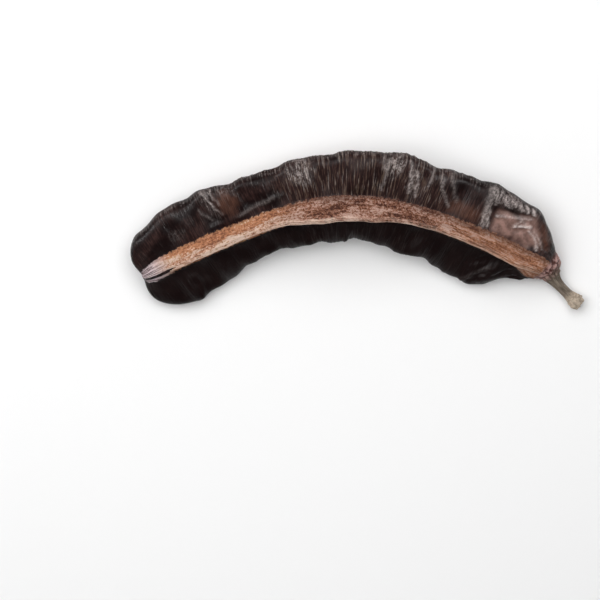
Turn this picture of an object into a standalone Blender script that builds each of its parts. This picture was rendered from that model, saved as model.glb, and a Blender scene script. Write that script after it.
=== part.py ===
"""A dried aridan pod (the fruit of Tetrapleura tetraptera), as picked, lying on its side.

The pod is one grown piece. Its spine is a shallow arch, and four arms stand out of it all along:
two thick fleshy lobes in the plane of the arch, and two thin woody wings square to that plane.
The arms close in a blunt tip at one end and draw together into the stalk at the other.

Everything is shaped in the pod's own frame, in metres: x runs along the pod from the tip to the
stalk, y points out of the arch, and z points to the upper woody wing. The last step tilts the pod
on to the three low points that it rests on.
"""

import math

import bmesh
import bpy
import numpy as np
from mathutils import Euler

MM = 0.001

# Mesh density. The rings run from the tip to the scar, and the steps from an arm's edge to its root.
RINGS = 104
LOBE_STEPS, WING_STEPS = 9, 5
SECTION_POINTS = 4 * (LOBE_STEPS + WING_STEPS)

# The spine's route, in millimetres: along the pod, out of the arch, towards the upper wing
SPINE = [
    (-87.8, -29.6, 0.0),
    (-77.0, -22.6, 0.0),
    (-65.8, -17.4, 0.0),
    (-45.5, -9.6, 0.0),
    (-25.3, -3.0, 0.0),
    (-5.1, 0.4, 0.0),
    (15.2, -1.6, 0.0),
    (35.4, -8.8, 0.0),
    (55.6, -19.2, 0.0),
    (75.9, -32.4, 0.0),
    (86.3, -42.4, 0.0),
    (92.2, -50.4, 1.4),
    (98.1, -56.8, 3.8),
    (100.8, -59.0, 5.0),
]

SLOPE_STEP = 0.5  # the spine's direction is taken over this far each way

# How far each arm stands out of the spine, in millimetres: (distance from the tip, reach)
OUTER_LOBE = [
    (0, 16.8), (8, 17.2), (16, 18.4), (24, 20.1), (32, 21.2), (44, 21.8), (56, 20.5), (66, 20.3),
    (80, 20.0), (96, 21.9), (108, 22.9), (120, 23.6), (134, 21.0), (146, 21.3), (160, 23.3),
    (168, 21.8), (176, 18.8), (184, 13.8), (189, 9.4), (193, 5.8), (198, 3.0), (204, 2.1), (208, 2.25),
    (210.3, 3.05), (212.4, 3.3), (214.7, 2.2),
]
INNER_LOBE = [
    (0, 20.9), (8, 22.8), (16, 24.0), (24, 23.8), (32, 22.9), (40, 21.4), (48, 18.9), (56, 16.7),
    (66, 18.2), (80, 19.8), (100, 20.4), (120, 20.8), (136, 21.8), (148, 23.6), (158, 25.2),
    (166, 24.4), (172, 21.6), (178, 15.6), (184, 10.2), (189, 6.8), (193, 4.4), (198, 2.8),
    (204, 2.1), (208, 2.25), (210.3, 3.05), (212.4, 3.3), (214.7, 2.2),
]
UPPER_WING = [
    (0, 10.5), (10, 11.6), (20, 12.5), (48, 12.2), (58, 12.2), (66, 14.0), (74, 16.8), (82, 18.8),
    (90, 19.7), (100, 18.7), (112, 17.0), (124, 15.6), (140, 14.4), (158, 14.4), (170, 14.8),
    (179, 13.2), (186, 9.8), (192, 5.8), (197, 3.4), (204, 2.1), (208, 2.25),
    (210.3, 3.05), (212.4, 3.3), (214.7, 2.2),
]
LOWER_WING = [
    (0, 9.8), (10, 10.6), (30, 11.6), (50, 12.6), (64, 14.8), (78, 18.4), (90, 21.0), (100, 21.2),
    (112, 18.8), (124, 15.6), (138, 12.8), (150, 11.2), (162, 10.4), (174, 9.4), (184, 7.6),
    (192, 4.8), (197, 3.2), (204, 2.1), (208, 2.25), (210.3, 3.05), (212.4, 3.3), (214.7, 2.2),
]

# Thickness of the arms, and the flare where each one grows out of the middle
LOBE_HALF_THICKNESS = 5.2
WING_HALF_THICKNESS = 1.6
WING_FLARE = 3.2
LOBE_FLARE = 1.0
FLARE_FADE = 4.0  # how soon a flare dies away up an arm
LOBE_SQUARENESS = 3.0  # 2 is a half ellipse, more is a flat side with a round edge
WING_SQUARENESS = 4.2
SUTURE_DEPTH = 0.5  # the groove along each wing's edge
LOBE_HEIGHT, WING_HEIGHT = 16.0, 10.0  # usual heights above the root, to space the points by
ROUND_SAMPLES = 400

# Waves of the dried skin: (wavelength, height, phase), in millimetres and turns
EDGE_SCALLOPS = [(19.0, 0.50, 0.10), (31.0, 0.35, 0.62), (9.7, 0.25, 0.35)]
PULP_SWELLS = [(17.0, 0.62, 0.20), (26.0, 0.55, 0.75), (9.1, 0.42, 0.50)]
LOBE_SWAY = [(58.0, 1.30, 0.30), (37.0, 0.60, 0.85)]
WING_SWAY = [(66.0, 1.00, 0.55), (29.0, 0.45, 0.15)]
WING_CHIPS = [(23.0, 0.35, 0.45), (11.0, 0.22, 0.05)]
SWAY_REACH = 22.0  # the waves to the side have their full height this far out

# How much further along each kind of wave is on the next arm, or on a lobe's other side, in turns
EDGE_SHIFT = 0.17
SWELL_SHIFT, SWELL_SIDE_SHIFT = 0.11, 0.23
SWAY_SHIFT = 0.13

# Deep creases across the lobes: (arm, side, distance from the tip, depth, width)
CREASES = [
    (0, 1, 156.0, 1.5, 2.6),
    (0, 1, 182.5, 1.0, 2.2),
    (0, 1, 38.0, 0.7, 3.0),
    (0, -1, 158.0, 1.2, 2.8),
    (0, -1, 61.0, 0.9, 2.8),
    (2, -1, 152.0, 1.1, 2.8),
    (2, -1, 27.0, 0.9, 2.8),
    (2, 1, 43.0, 1.0, 2.8),
    (2, 1, 118.0, 1.1, 2.8),
]

STALK_RIBS = 5
STALK_RIB_HEIGHT = 0.22
STALK_RIB_FADE = 4.0  # the ribs fade in over this length on each side of the stalk's start

# The two ends
TIP_CAP = 14.0  # length over which the blunt tip rounds off
TIP_SQUARENESS = 2.5
TIP_NOTCH = 2.0  # how far the lobes' ends stand past the middle of the tip
TIP_NOTCH_WIDTH = 6.0
TIP_SKEW = 0.20  # how much the tip is cut off at an angle, further out on the inner side
BODY_END, STALK_START = 176.0, 195.0  # the arms melt into a round stalk between these
SCAR_DISH = 0.5  # hollow of the scar where the stalk broke off

# Shares of the rings given to the tip cap, the body and the stalk; the scar has the rest
TIP_SHARE, BODY_SHARE, STALK_SHARE = 0.10, 0.72, 0.14

# How the pod lies: tilted on to its lower wing and the two ends of its inner lobe
REST_TILT = math.radians(21.12)
REST_ROLL = math.radians(-0.88)
FLAT_DEPTH = 0.40  # how much of each low point is worn flat
CUT_SNAP = 0.10  # points this near the ground belong to a flat

POD_COLOUR = (0.075, 0.045, 0.038, 1.0)
POD_ROUGHNESS = 0.45


def clear_scene():
    for obj in list(bpy.data.objects):
        bpy.data.objects.remove(obj, do_unlink=True)


def smooth_through(stations, values, at):
    """A smooth curve through values at stations, read at the places in at (a cubic Hermite spline)."""
    stations, values = np.asarray(stations, float), np.asarray(values, float)
    slopes = np.gradient(values, stations, axis=0)
    i = np.clip(np.searchsorted(stations, at) - 1, 0, len(stations) - 2)
    gap = stations[i + 1] - stations[i]
    t = (at - stations[i]) / gap
    if values.ndim > 1:
        t, gap = t[:, None], gap[:, None]
    return (
        (2 * t**3 - 3 * t**2 + 1) * values[i]
        + (t**3 - 2 * t**2 + t) * gap * slopes[i]
        + (3 * t**2 - 2 * t**3) * values[i + 1]
        + (t**3 - t**2) * gap * slopes[i + 1]
    )


def smooth_step(low, high, at):
    t = np.clip((at - low) / (high - low), 0, 1)
    return t * t * (3 - 2 * t)


def waves(parts, at, shift=0.0):
    """The sum of some sine waves, which don't repeat together. shift moves each one by its own amount."""
    return sum(h * np.sin(2 * math.pi * (at / w + p + shift * (1 + k))) for k, (w, h, p) in enumerate(parts))


def arc_lengths(points):
    steps = np.linalg.norm(np.diff(points, axis=0), axis=1)
    return np.concatenate([[0], np.cumsum(steps)])


def evenly_round(reach, half, squareness):
    """(shares, angles): angles that lay evenly spaced points along a quarter of a superellipse."""
    angles = np.linspace(0, math.pi / 2, ROUND_SAMPLES)
    power = 2 / squareness
    curve = np.stack([reach * np.sin(angles) ** power, half * np.clip(np.cos(angles), 0, 1) ** power], axis=1)
    lengths = arc_lengths(curve)
    return lengths / lengths[-1], angles


SPINE_POINTS = np.array(SPINE)
SPINE_STATIONS = arc_lengths(SPINE_POINTS)
SPINE_LENGTH = SPINE_STATIONS[-1]
LOBE_ROUND = evenly_round(LOBE_HEIGHT, LOBE_HALF_THICKNESS, LOBE_SQUARENESS)
WING_ROUND = evenly_round(WING_HEIGHT, WING_HALF_THICKNESS, WING_SQUARENESS)


def spine_frame(s):
    """Points of the spine at distances s from the tip, with the directions along, outward and upward there."""
    point = smooth_through(SPINE_STATIONS, SPINE_POINTS, s)
    ahead = smooth_through(SPINE_STATIONS, SPINE_POINTS, np.minimum(s + SLOPE_STEP, SPINE_LENGTH))
    behind = smooth_through(SPINE_STATIONS, SPINE_POINTS, np.maximum(s - SLOPE_STEP, 0))
    along = ahead - behind
    along /= np.linalg.norm(along, axis=1)[:, None]
    outward = np.cross([0.0, 0.0, 1.0], along)
    outward /= np.linalg.norm(outward, axis=1)[:, None]
    upward = np.cross(along, outward)
    return point, along, outward, upward


def ring_path(share):
    """(distance from the tip, size of the section, share of the scar) for each ring's share of the way."""
    quarter = math.pi / 2
    power = 2 / TIP_SQUARENESS
    cap = np.clip(share / TIP_SHARE, 0, 1) * quarter
    body = np.clip((share - TIP_SHARE) / BODY_SHARE, 0, 1)
    stalk = np.clip((share - TIP_SHARE - BODY_SHARE) / STALK_SHARE, 0, 1)
    scar_from = TIP_SHARE + BODY_SHARE + STALK_SHARE
    scar = np.clip((share - scar_from) / (1 - scar_from), 0, 1)
    s = (
        TIP_CAP * (1 - np.clip(np.cos(cap), 0, 1) ** power)
        + body * (STALK_START - TIP_CAP)
        + stalk * (SPINE_LENGTH - STALK_START)
    )
    size = np.sin(cap) ** power * np.clip(1 - scar, 0, 1)
    return s, size, scar


def reach_of(arm, s):
    """How far each arm's edge stands out. Arms 0 to 3: outer lobe, upper wing, inner lobe, lower wing."""
    tables = (OUTER_LOBE, UPPER_WING, INNER_LOBE, LOWER_WING)
    reach = np.zeros_like(s)
    on_body = 1 - smooth_step(BODY_END, STALK_START, s)
    for k, table in enumerate(tables):
        stations, values = zip(*table)
        ripple = waves(EDGE_SCALLOPS if k % 2 == 0 else WING_CHIPS, s, shift=EDGE_SHIFT * k)
        reach = np.where(arm == k, smooth_through(stations, values, s) + ripple * on_body, reach)
    return reach


def arm_section(arm, share, side, s):
    """A point of the star-shaped section as (distance up the arm, distance to its side).

    share runs from 0 in the valley between two arms to 1 at the arm's edge; side is -1 or 1.
    """
    lobe = arm % 2 == 0
    reach = reach_of(arm, s)
    half = np.where(lobe, LOBE_HALF_THICKNESS, WING_HALF_THICKNESS)
    flare = np.where(lobe, LOBE_FLARE, WING_FLARE)
    root = np.where(lobe, WING_HALF_THICKNESS + WING_FLARE, LOBE_HALF_THICKNESS + LOBE_FLARE)
    swell = np.where(lobe, waves(PULP_SWELLS, s, shift=SWELL_SHIFT * arm + SWELL_SIDE_SHIFT * side), 0.0)
    for crease_arm, crease_side, place, depth, width in CREASES:
        on_it = (arm == crease_arm) & (side == crease_side)
        swell = swell - np.where(on_it, depth * np.exp(-(((s - place) / width) ** 2)), 0.0)
    power = 2 / np.where(lobe, LOBE_SQUARENESS, WING_SQUARENESS)
    angle = np.where(lobe, np.interp(share, *LOBE_ROUND), np.interp(share, *WING_ROUND))
    up = np.clip(np.sin(angle), 0, 1) ** power
    out = np.clip(np.cos(angle), 0, 1) ** power
    height = root + (reach - root) * up
    width = (half + swell * np.sin(math.pi * up)) * out + flare * (1 - up) ** FLARE_FADE
    suture = np.where(lobe, 0.0, SUTURE_DEPTH) * (share == 1)
    return height - suture, width * side


def pod_surface(arm, share, side, ring_share):
    """The pod's skin, in millimetres, in the pod's own frame."""
    s, size, scar = ring_path(ring_share)
    point, along, outward, upward = spine_frame(s)
    height, width = arm_section(arm, share, side, s)

    # Lobes and wings sway to one side, more towards their edges
    lobe_sway = waves(LOBE_SWAY, s, shift=SWAY_SHIFT * arm)
    wing_sway = waves(WING_SWAY, s, shift=SWAY_SHIFT * arm)
    sway = np.where(arm % 2 == 0, lobe_sway, wing_sway)
    width = width + sway * (height / SWAY_REACH) ** 2

    # From arm axes to outward and upward: arm 0 points out, 1 up, 2 in, 3 down
    turn = arm * math.pi / 2
    star_out = height * np.cos(turn) - width * np.sin(turn)
    star_up = height * np.sin(turn) + width * np.cos(turn)

    # The round section that the arms melt into, with each arm's reach at its own angle
    angle = side * (1 - share) * math.pi / 4
    next_arm = (arm + side.astype(int)) % 4
    radius = reach_of(arm, s) * np.cos(angle) ** 2 + reach_of(next_arm, s) * np.sin(angle) ** 2
    on_stalk = smooth_step(STALK_START - STALK_RIB_FADE, STALK_START + STALK_RIB_FADE, s)
    radius = radius + STALK_RIB_HEIGHT * np.cos(STALK_RIBS * (turn + angle)) * on_stalk
    round_out = radius * np.cos(turn + angle)
    round_up = radius * np.sin(turn + angle)

    melt = smooth_step(BODY_END, STALK_START, s)
    out = (star_out * (1 - melt) + round_out * melt) * size
    up = (star_up * (1 - melt) + round_up * melt) * size

    # The tip is cut at an angle and notched between the lobes' ends, and the scar is a shallow dish
    at_tip = 1 - smooth_step(0, TIP_CAP, s)
    notch = TIP_NOTCH * (1 - np.exp(-((out / TIP_NOTCH_WIDTH) ** 2)))
    shift = (TIP_SKEW * out - notch) * at_tip - SCAR_DISH * scar
    return point + along * shift[:, None] + outward * out[:, None] + upward * up[:, None]


def section_place(slot):
    """(arm, share, side) for each numbered point round the section, with arm 0's edge at 0."""
    quarter, step = np.divmod(slot, LOBE_STEPS + WING_STEPS)
    down_steps = np.where(quarter % 2 == 0, LOBE_STEPS, WING_STEPS)
    up_steps = LOBE_STEPS + WING_STEPS - down_steps
    rising = step > down_steps
    arm = (quarter + rising) % 4
    share = np.where(rising, (step - down_steps) / up_steps, 1 - step / down_steps)
    side = np.where(rising, -1.0, 1.0)
    return arm, share, side


def make_pod():
    """A globe's grid of rings and segments, moved on to the pod's skin."""
    mesh = bpy.data.meshes.new("aridan_pod")
    bm = bmesh.new()
    bmesh.ops.create_uvsphere(bm, u_segments=SECTION_POINTS, v_segments=RINGS, radius=1.0)
    globe = np.array([v.co for v in bm.verts])
    ring_share = np.arccos(np.clip(-globe[:, 2], -1, 1)) / math.pi
    turn_share = np.arctan2(globe[:, 1], globe[:, 0]) / (2 * math.pi)
    slot = np.round(turn_share * SECTION_POINTS).astype(int) % SECTION_POINTS
    arm, share, side = section_place(slot)
    skin = pod_surface(arm, share, side, ring_share) * MM
    for vertex, place in zip(bm.verts, skin):
        vertex.co = place
    bmesh.ops.rotate(bm, verts=bm.verts, matrix=Euler((REST_TILT, REST_ROLL, 0)).to_matrix())
    settle(bm)
    bmesh.ops.triangulate(bm, faces=bm.faces)
    bmesh.ops.recalc_face_normals(bm, faces=bm.faces)
    bm.to_mesh(mesh)
    bm.free()
    mesh.shade_smooth()
    pod = bpy.data.objects.new("aridan_pod", mesh)
    pod.data.materials.append(pod_material())
    return pod


def settle(bm):
    """Puts the pod on the ground, over the origin, with its low points worn flat."""
    places = np.array([v.co for v in bm.verts])
    middle = (places.min(axis=0) + places.max(axis=0)) / 2
    ground = places[:, 2].min() + FLAT_DEPTH * MM
    bmesh.ops.translate(bm, verts=bm.verts, vec=(-middle[0], -middle[1], -ground))
    everything = bm.verts[:] + bm.edges[:] + bm.faces[:]
    bmesh.ops.bisect_plane(
        bm, geom=everything, dist=CUT_SNAP * MM, plane_co=(0, 0, 0), plane_no=(0, 0, 1), clear_inner=True
    )
    rims = [edge for edge in bm.edges if edge.is_boundary]
    bmesh.ops.holes_fill(bm, edges=rims, sides=0)
    for vertex in bm.verts:
        if vertex.co.z < CUT_SNAP * MM:
            vertex.co.z = 0.0


def pod_material():
    material = bpy.data.materials.new("dried_pod_skin")
    material.use_nodes = True
    shader = material.node_tree.nodes["Principled BSDF"]
    shader.inputs["Base Color"].default_value = POD_COLOUR
    shader.inputs["Roughness"].default_value = POD_ROUGHNESS
    shader.inputs["Metallic"].default_value = 0.0
    return material


def main():
    clear_scene()
    collection = bpy.data.collections.new("aridan pod")
    bpy.context.scene.collection.children.link(collection)
    collection.objects.link(make_pod())


main()
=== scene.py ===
"""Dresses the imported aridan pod: its wrinkled lobes, fibrous wings and stalk, on a plain pale stage.

The pod's skin is grown by the same rules and named sizes as the part's own solid, about four times
as finely each way, with the small wrinkles, folds and fibres that the solid leaves out. Sizes in the
tables are in millimetres. "Distance from the tip" is measured along the pod's curved middle.
"""

import math

import bpy
import numpy as np
from bpy.props import FloatProperty, FloatVectorProperty, PointerProperty
from mathutils import Euler, Matrix, Vector, noise


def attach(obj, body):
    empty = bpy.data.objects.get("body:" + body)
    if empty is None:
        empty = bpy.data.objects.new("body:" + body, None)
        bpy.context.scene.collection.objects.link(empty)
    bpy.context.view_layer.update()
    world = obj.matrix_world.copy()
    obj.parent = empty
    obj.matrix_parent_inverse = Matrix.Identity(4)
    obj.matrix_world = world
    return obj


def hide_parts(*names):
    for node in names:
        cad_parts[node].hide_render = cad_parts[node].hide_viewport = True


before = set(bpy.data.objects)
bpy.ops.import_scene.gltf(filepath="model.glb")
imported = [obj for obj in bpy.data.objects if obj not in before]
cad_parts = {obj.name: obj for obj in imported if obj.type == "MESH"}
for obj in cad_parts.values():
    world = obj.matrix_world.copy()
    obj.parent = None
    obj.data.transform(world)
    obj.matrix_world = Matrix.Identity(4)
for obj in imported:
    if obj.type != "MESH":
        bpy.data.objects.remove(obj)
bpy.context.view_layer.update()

bl_info = {
    "name": "Aridan Pod",
    "version": (1, 0, 0),
    "blender": (4, 5, 0),
    "location": "3D View > Sidebar > Aridan Pod",
    "description": "Builds a dried aridan pod with wrinkled lobes, woody wings and a stalk",
    "category": "Add Mesh",
}

MM = 0.001
NODE = "aridan_pod"

# How finely the skin is meshed
RINGS = 540
LOBE_STEPS, WING_STEPS = 26, 18
SECTION_POINTS = 4 * (LOBE_STEPS + WING_STEPS)

# The spine's route: along the pod, out of the arch, towards the upper wing
SPINE = [
    (-87.8, -29.6, 0.0),
    (-77.0, -22.6, 0.0),
    (-65.8, -17.4, 0.0),
    (-45.5, -9.6, 0.0),
    (-25.3, -3.0, 0.0),
    (-5.1, 0.4, 0.0),
    (15.2, -1.6, 0.0),
    (35.4, -8.8, 0.0),
    (55.6, -19.2, 0.0),
    (75.9, -32.4, 0.0),
    (86.3, -42.4, 0.0),
    (92.2, -50.4, 1.4),
    (98.1, -56.8, 3.8),
    (100.8, -59.0, 5.0),
]

SLOPE_STEP = 0.5  # the spine's direction is taken over this far each way

# How far each arm stands out of the spine: (distance from the tip, reach)
OUTER_LOBE = [
    (0, 16.8), (8, 17.2), (16, 18.4), (24, 20.1), (32, 21.2), (44, 21.8), (56, 20.5), (66, 20.3),
    (80, 20.0), (96, 21.9), (108, 22.9), (120, 23.6), (134, 21.0), (146, 21.3), (160, 23.3),
    (168, 21.8), (176, 18.8), (184, 13.8), (189, 9.4), (193, 5.8), (198, 3.0), (204, 2.1),
    (208, 2.25), (210.3, 3.05), (212.4, 3.3), (214.7, 2.2),
]
INNER_LOBE = [
    (0, 20.9), (8, 22.8), (16, 24.0), (24, 23.8), (32, 22.9), (40, 21.4), (48, 18.9), (56, 16.7),
    (66, 18.2), (80, 19.8), (100, 20.4), (120, 20.8), (136, 21.8), (148, 23.6), (158, 25.2),
    (166, 24.4), (172, 21.6), (178, 15.6), (184, 10.2), (189, 6.8), (193, 4.4), (198, 2.8),
    (204, 2.1), (208, 2.25), (210.3, 3.05), (212.4, 3.3), (214.7, 2.2),
]
UPPER_WING = [
    (0, 10.5), (10, 11.6), (20, 12.5), (48, 12.2), (58, 12.2), (66, 14.0), (74, 16.8), (82, 18.8),
    (90, 19.7), (100, 18.7), (112, 17.0), (124, 15.6), (140, 14.4), (158, 14.4), (170, 14.8),
    (179, 13.2), (186, 9.8), (192, 5.8), (197, 3.4), (204, 2.1), (208, 2.25),
    (210.3, 3.05), (212.4, 3.3), (214.7, 2.2),
]
LOWER_WING = [
    (0, 9.8), (10, 10.6), (30, 11.6), (50, 12.6), (64, 14.8), (78, 18.4), (90, 21.0), (100, 21.2),
    (112, 18.8), (124, 15.6), (138, 12.8), (150, 11.2), (162, 10.4), (174, 9.4), (184, 7.6),
    (192, 4.8), (197, 3.2), (204, 2.1), (208, 2.25), (210.3, 3.05), (212.4, 3.3), (214.7, 2.2),
]

# Thickness of the arms, and the flare where each one grows out of the middle
LOBE_HALF_THICKNESS = 5.2
WING_HALF_THICKNESS = 1.6
WING_FLARE = 3.2
LOBE_FLARE = 1.0
FLARE_FADE = 4.0
LOBE_SQUARENESS = 3.0
WING_SQUARENESS = 4.2
SUTURE_DEPTH = 0.5
SUTURE_WIDTH = 0.7
LOBE_HEIGHT, WING_HEIGHT = 16.0, 10.0  # usual heights above the root, to space the points by
ROUND_SAMPLES = 400
LOBE_GIRTH = 20.0  # from a lobe's edge down one side to its root
WING_GIRTH = 12.0

# Waves of the dried skin: (wavelength, height, phase), in millimetres and turns
EDGE_SCALLOPS = [(19.0, 0.50, 0.10), (31.0, 0.35, 0.62), (9.7, 0.25, 0.35)]
PULP_SWELLS = [(17.0, 0.62, 0.20), (26.0, 0.55, 0.75), (9.1, 0.42, 0.50)]
LOBE_SWAY = [(58.0, 1.30, 0.30), (37.0, 0.60, 0.85)]
WING_SWAY = [(66.0, 1.00, 0.55), (29.0, 0.45, 0.15)]
WING_CHIPS = [(23.0, 0.35, 0.45), (11.0, 0.22, 0.05)]
SWAY_REACH = 22.0

# How much further along each kind of wave is on the next arm, or on a lobe's other side, in turns
EDGE_SHIFT = 0.17
SWELL_SHIFT, SWELL_SIDE_SHIFT = 0.11, 0.23
SWAY_SHIFT = 0.13

# Deep creases across the lobes: (arm, side, distance from the tip, depth, width)
CREASES = [
    (0, 1, 156.0, 1.5, 2.6),
    (0, 1, 182.5, 1.0, 2.2),
    (0, 1, 38.0, 0.7, 3.0),
    (0, -1, 158.0, 1.2, 2.8),
    (0, -1, 61.0, 0.9, 2.8),
    (2, -1, 152.0, 1.1, 2.8),
    (2, -1, 27.0, 0.9, 2.8),
    (2, 1, 43.0, 1.0, 2.8),
    (2, 1, 118.0, 1.1, 2.8),
]

STALK_RIBS = 5
STALK_RIB_HEIGHT = 0.22
STALK_RIB_FADE = 4.0

# On the lobes, the bloom patches carry pale strokes on their crests: grey dust and painted highlights.
# Patches of the skin: (arm, side, distance from the tip, distance from the edge, length, width)
BLOOM_PATCHES = [
    (0, 1, 24.0, 14.5, 5.0, 3.5),
    (0, 1, 41.5, 7.0, 3.0, 8.0),
    (0, 1, 48.0, 2.0, 10.0, 3.0),
    (0, 1, 80.0, 5.5, 5.5, 8.0),
    (0, 1, 113.5, 6.0, 3.5, 7.0),
    (0, 1, 121.0, 11.0, 3.0, 7.0),
    (0, 1, 160.0, 3.6, 9.5, 6.4),
    (0, 1, 154.5, 14.0, 2.5, 6.0),
    (0, 1, 168.0, 3.5, 5.0, 4.0),
    (0, -1, 60.0, 6.0, 9.0, 7.0),
    (0, -1, 118.0, 8.0, 14.0, 8.0),
    (1, -1, 139.5, 4.0, 4.0, 4.0),
    (1, 1, 64.0, 6.0, 5.0, 4.0),
    (3, -1, 110.0, 5.0, 5.0, 4.0),
    (2, 1, 84.0, 7.0, 12.0, 7.0),
    (2, 1, 150.0, 6.0, 8.0, 7.0),
]
WARM_PATCHES = [
    (0, 1, 49.0, 9.0, 5.5, 7.0),
    (0, 1, 180.0, 9.0, 5.0, 9.0),
    (0, 1, 146.0, 16.0, 10.0, 4.0),
    (0, -1, 98.0, 9.0, 10.0, 7.0),
    (0, -1, 172.0, 9.0, 9.0, 8.0),
    (2, 1, 36.0, 9.0, 9.0, 7.0),
    (2, 1, 128.0, 11.0, 10.0, 6.0),
]
ROSY_PATCHES = [
    (0, 1, 164.0, 14.5, 7.0, 6.5),
    (0, 1, 173.0, 13.0, 7.0, 8.0),
    (0, -1, 182.0, 8.0, 7.0, 7.0),
    (2, 1, 172.0, 9.0, 7.0, 7.0),
]

# Folds and creases of the lobes:
# (arm, side, [(distance from the tip, distance from the edge)], height, width, how pale its crest is, as wear
# and painted highlight)
FOLDS = [
    (0, 1, [(39.0, 18.4), (50.0, 17.8)], 0.50, 1.3, 0.0),
    (0, 1, [(52.0, 17.0), (60.0, 15.8), (67.0, 14.6)], 0.50, 0.9, 0.13),
    (0, 1, [(36.5, 8.0), (37.5, 12.0), (40.0, 15.5)], 0.25, 0.45, 0.12),
    (0, 1, [(40.0, 1.0), (42.5, 9.0), (45.0, 13.5)], 0.30, 0.5, 0.24),
    (0, 1, [(43.0, 2.0), (45.5, 9.0)], 0.25, 0.5, 0.22),
    (0, 1, [(53.0, 1.5), (56.0, 7.0), (57.0, 13.0)], -0.50, 1.6, 0.0),
    (0, 1, [(70.0, 0.0), (72.0, 6.0), (71.0, 12.0)], -0.70, 2.2, 0.0),
    (0, 1, [(109.0, 2.0), (110.5, 9.0), (110.0, 17.0)], 0.30, 0.5, 0.22),
    (0, 1, [(118.0, 3.0), (119.5, 9.0), (120.5, 16.0)], 0.35, 0.5, 0.36),
    (0, 1, [(121.5, 6.0), (123.0, 12.0), (123.5, 17.0)], 0.35, 0.5, 0.34),
    (0, 1, [(131.5, 3.0), (133.0, 9.0), (138.0, 16.5)], 0.60, 0.6, 0.24),
    (0, 1, [(135.0, 2.5), (137.5, 8.0), (141.0, 13.5)], 0.50, 0.9, 0.15),
    (0, 1, [(127.5, 0.0), (128.0, 5.0), (127.0, 10.0)], 0.35, 0.5, 0.25),
    (0, 1, [(152.5, 3.0), (153.2, 9.0), (155.5, 19.0)], 0.70, 1.3, 0.20),
    (0, 1, [(154.8, 12.0), (157.3, 18.5)], 0.50, 0.6, 0.55),
    (0, 1, [(157.5, 11.0), (160.0, 18.5)], -0.50, 0.6, 0.0),
    (0, 1, [(158.4, 11.4), (164.6, 8.2), (171.5, 5.6)], -0.90, 1.0, 0.0),
    (0, 1, [(159.2, 13.2), (162.0, 11.2), (165.0, 9.9), (168.5, 8.5), (171.5, 7.2)], 0.45, 0.55, 0.38),
    (0, 1, [(167.2, 13.4), (170.2, 11.9), (173.2, 10.2)], 0.80, 0.6, 1.0),
    (0, 1, [(167.2, 13.4), (168.6, 9.6)], 0.40, 0.5, 0.45),
    (0, 1, [(168.6, 9.6), (173.2, 10.2)], 0.40, 0.5, 0.35),
    (0, 1, [(168.5, 15.0), (172.5, 13.2), (175.0, 12.4)], -0.40, 0.6, 0.0),
    (0, 1, [(173.5, 12.2), (177.0, 12.6), (179.3, 15.0), (180.3, 18.0)], 0.80, 0.7, 0.55),
    (0, 1, [(175.0, 10.5), (179.5, 11.8), (182.0, 15.5)], 0.40, 0.6, 0.30),
    (0, 1, [(172.5, 14.0), (175.5, 15.0), (177.5, 18.0)], -0.45, 0.7, 0.0),
    (0, 1, [(177.0, 5.0), (180.0, 9.0), (183.5, 14.0)], -0.60, 0.8, 0.0),
    (0, 1, [(166.5, 18.0), (171.5, 16.8)], 0.70, 2.2, 0.0),
    (0, 1, [(165.5, 3.0), (167.0, 5.5)], 0.35, 0.5, 0.70),
    (0, 1, [(168.0, 2.0), (169.5, 5.0)], 0.35, 0.5, 0.80),
    (0, 1, [(170.5, 2.0), (172.0, 4.5)], 0.35, 0.5, 0.80),
    (0, -1, [(84.0, 4.0), (86.0, 11.0), (90.0, 16.0)], 0.60, 0.8, 0.30),
    (0, -1, [(140.0, 3.0), (141.0, 10.0), (146.0, 17.0)], 0.60, 0.8, 0.30),
    (0, -1, [(164.0, 12.0), (172.0, 8.0), (178.0, 9.0)], 0.80, 0.8, 0.40),
    (2, -1, [(19.0, 4.0), (22.0, 9.0), (21.0, 14.0)], 0.60, 1.2, 0.0),
    (2, -1, [(96.0, 3.0), (98.0, 9.0), (97.0, 15.0)], 0.45, 0.9, 0.0),
    (2, -1, [(160.0, 3.0), (163.0, 9.0), (168.0, 14.0)], 0.70, 0.9, 0.20),
    (2, 1, [(60.0, 4.0), (63.0, 10.0), (62.0, 16.0)], 0.60, 0.9, 0.20),
    (2, 1, [(160.0, 4.0), (164.0, 10.0), (171.0, 13.0)], 0.70, 0.9, 0.30),
]

# A fan of small pale folds between the rim and the ledge, near the stalk
FAN_FOLDS, FAN_START, FAN_STEP = 9, 154.6, 1.35
FAN_STRAY, FAN_STRAY_TURN = 0.6, 2.3
FAN_LEAN = 1.6
FAN_TOP, FAN_FOOT, FAN_SHORTENING, FAN_RAGGED = 2.6, 9.0, 0.45, 2.5
FAN_HEIGHT, FAN_WIDTH = 0.28, 0.5
# How pale the fan's crests are: wear and painted highlight.
FAN_WEAR_AND_HIGHLIGHT, FAN_PALE_STRAY = 0.30, 0.20

# Where the skin changes, as distances from the tip: (beginning, full) or (beginning, full, fading, gone)
STRIPES = (66.0, 78.0, 128.0, 142.0)
BOXY_FOLDS = (157, 162, 186, 191)
WRINKLED = (30, 42)
BROADLY_WRINKLED = (28, 40)
SKIN_TO_STALK = (184, 192)
STALK_COLOURS = (184, 194)
BASE_FOLDS_END = (195, 199)
KNOB = (207, 210)
# Painted shade: the upper wing's underside near the tip takes the lobes' near-black colour.
TIP_SHADE, TIP_SHADE_SLANT = (11, 23), 2.6  # the upper wing's dark underside, wider at its edge

# Slices of the noise for the arms and their sides, so that no two are alike
ARM_SLICE, SIDE_SLICE = 31.7, 11.3

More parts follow.
